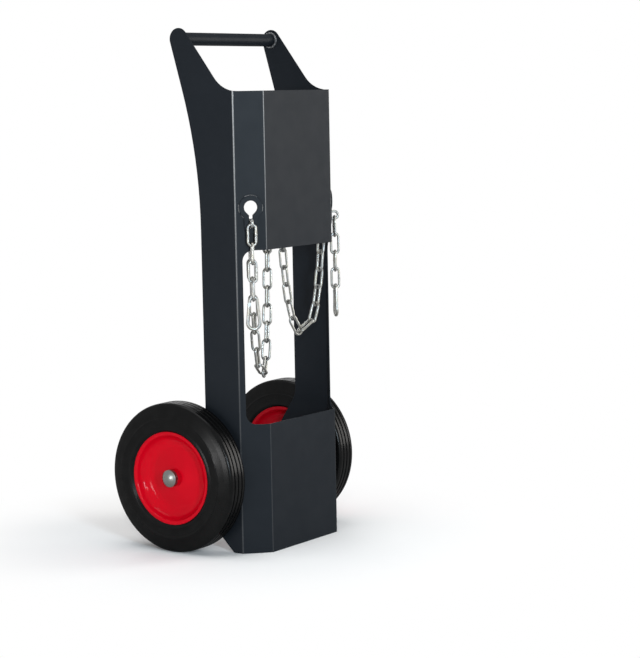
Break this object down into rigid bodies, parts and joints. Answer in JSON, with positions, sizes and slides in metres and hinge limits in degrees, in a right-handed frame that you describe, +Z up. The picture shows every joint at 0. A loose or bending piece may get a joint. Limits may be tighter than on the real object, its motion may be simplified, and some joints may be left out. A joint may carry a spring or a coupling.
{
  "type": "hand truck",
  "caption": "Upright hand truck folded from sheet steel, with a cross handle, large solid tyres on pressed centres, and chains with snap hooks through keyholes that hold a load to its front.",
  "frame": {"origin": "on the floor, under the middle of the object's bounding box", "axes": "+Z up along the body, -Y out of the front panel towards the load, +X along the axle to the right wheel"},
  "size_m": [0.5262, 0.378, 1.209],
  "materials": {
    "frame_paint": "satin",
    "rim_paint": "gloss",
    "tyre_rubber": "satin",
    "zinc_steel": "satin",
    "bright_steel": "gloss",
    "bush_plastic": "matte"
  },
  "bodies": {
    "frame": {"folded_body": "frame_paint", "handle_tube": "frame_paint", "handle_welds": "frame_paint", "cross_brace": "frame_paint", "brace_welds": "frame_paint", "chain_anchor": "frame_paint", "axle": "zinc_steel", "keyhole_plate_left": "frame_paint", "axle_collar_left": "frame_paint", "inner_washer_left": "zinc_steel", "outer_washer_left": "zinc_steel", "axle_cap_left": "bright_steel", "seat_link_left": "zinc_steel", "keyhole_plate_right": "frame_paint", "axle_collar_right": "frame_paint", "inner_washer_right": "zinc_steel", "outer_washer_right": "zinc_steel", "axle_cap_right": "bright_steel", "seat_link_right": "zinc_steel"},
    "wheel_left": {"tyre_left": "tyre_rubber", "outer_rim_left": "rim_paint", "inner_rim_left": "rim_paint", "hub_tube_left": "rim_paint", "hub_bushes_left": "bush_plastic"},
    "link_1_left": {"chain_link_1_left": "zinc_steel"},
    "link_2_left": {"chain_link_2_left": "zinc_steel"},
    "link_3_left": {"chain_link_3_left": "zinc_steel"},
    "link_4_left": {"chain_link_4_left": "zinc_steel"},
    "hook_left": {"snap_hook_left": "zinc_steel", "gate_pin_left": "zinc_steel"},
    "gate_left": {"hook_gate_left": "zinc_steel", "gate_spring_left": "zinc_steel"},
    "tail_left": {"chain_tail_left": "zinc_steel"},
    "wheel_right": {"tyre_right": "tyre_rubber", "outer_rim_right": "rim_paint", "inner_rim_right": "rim_paint", "hub_tube_right": "rim_paint", "hub_bushes_right": "bush_plastic"},
    "link_1_right": {"chain_link_1_right": "zinc_steel"},
    "link_2_right": {"chain_link_2_right": "zinc_steel"},
    "link_3_right": {"chain_link_3_right": "zinc_steel"},
    "link_4_right": {"chain_link_4_right": "zinc_steel"},
    "hook_right": {"snap_hook_right": "zinc_steel", "gate_pin_right": "zinc_steel"},
    "gate_right": {"hook_gate_right": "zinc_steel", "gate_spring_right": "zinc_steel"},
    "tail_right": {"chain_tail_right": "zinc_steel"}
  },
  "joints": [
    {"name": "wheel_spin_left", "type": "hinge", "parent": "frame", "child": "wheel_left", "pos_m": [-0.2205, 0.014, 0.175], "axis": [1, 0, 0], "continuous": true},
    {"name": "link_1_swing_left", "type": "hinge", "parent": "frame", "child": "link_1_left", "pos_m": [-0.16555, -0.17355, 0.75515], "axis": [-0.7071, -0.7071, 0], "range_deg": [-60, 60]},
    {"name": "link_2_swing_left", "type": "hinge", "parent": "link_1_left", "child": "link_2_left", "pos_m": [-0.16555, -0.17355, 0.71355], "axis": [-0.7071, 0.7071, 0], "range_deg": [0, 60]},
    {"name": "link_3_swing_left", "type": "hinge", "parent": "link_2_left", "child": "link_3_left", "pos_m": [-0.16555, -0.17355, 0.67195], "axis": [-0.7071, -0.7071, 0], "range_deg": [-60, 60]},
    {"name": "link_4_swing_left", "type": "hinge", "parent": "link_3_left", "child": "link_4_left", "pos_m": [-0.16555, -0.17355, 0.63035], "axis": [-0.7071, 0.7071, 0], "range_deg": [0, 60]},
    {"name": "hook_swing_left", "type": "hinge", "parent": "link_4_left", "child": "hook_left", "pos_m": [-0.16555, -0.17355, 0.58875], "axis": [-0.7071, -0.7071, 0], "range_deg": [-60, 60]},
    {"name": "gate_open_left", "type": "hinge", "parent": "hook_left", "child": "gate_left", "pos_m": [-0.17249, -0.16661, 0.57949], "axis": [-0.7071, -0.7071, 0], "range_deg": [0, 25], "stiffness_Nm_per_rad": 0.05},
    {"name": "tail_swing_left", "type": "hinge", "parent": "frame", "child": "tail_left", "pos_m": [-0.14433, -0.15233, 0.75515], "axis": [0.6595, 0.2139, 0.7206], "range_deg": [-6, 20]},
    {"name": "wheel_spin_right", "type": "hinge", "parent": "frame", "child": "wheel_right", "pos_m": [0.2205, 0.014, 0.175], "axis": [1, 0, 0], "continuous": true},
    {"name": "link_1_swing_right", "type": "hinge", "parent": "frame", "child": "link_1_right", "pos_m": [0.16555, -0.17355, 0.75515], "axis": [0.7071, -0.7071, 0], "range_deg": [-60, 60]},
    {"name": "link_2_swing_right", "type": "hinge", "parent": "link_1_right", "child": "link_2_right", "pos_m": [0.16555, -0.17355, 0.71355], "axis": [-0.7071, -0.7071, 0], "range_deg": [0, 60]},
    {"name": "link_3_swing_right", "type": "hinge", "parent": "link_2_right", "child": "link_3_right", "pos_m": [0.16555, -0.17355, 0.67195], "axis": [0.7071, -0.7071, 0], "range_deg": [-60, 60]},
    {"name": "link_4_swing_right", "type": "hinge", "parent": "link_3_right", "child": "link_4_right", "pos_m": [0.16555, -0.17355, 0.63035], "axis": [-0.7071, -0.7071, 0], "range_deg": [0, 60]},
    {"name": "hook_swing_right", "type": "hinge", "parent": "link_4_right", "child": "hook_right", "pos_m": [0.16555, -0.17355, 0.58875], "axis": [0.7071, -0.7071, 0], "range_deg": [-60, 60]},
    {"name": "gate_open_right", "type": "hinge", "parent": "hook_right", "child": "gate_right", "pos_m": [0.17249, -0.16661, 0.57949], "axis": [-0.7071, 0.7071, 0], "range_deg": [0, 25], "stiffness_Nm_per_rad": 0.05},
    {"name": "tail_swing_right", "type": "hinge", "parent": "frame", "child": "tail_right", "pos_m": [0.14433, -0.15233, 0.75515], "axis": [0.6595, -0.2139, -0.7206], "range_deg": [-6, 20]}
  ]
}
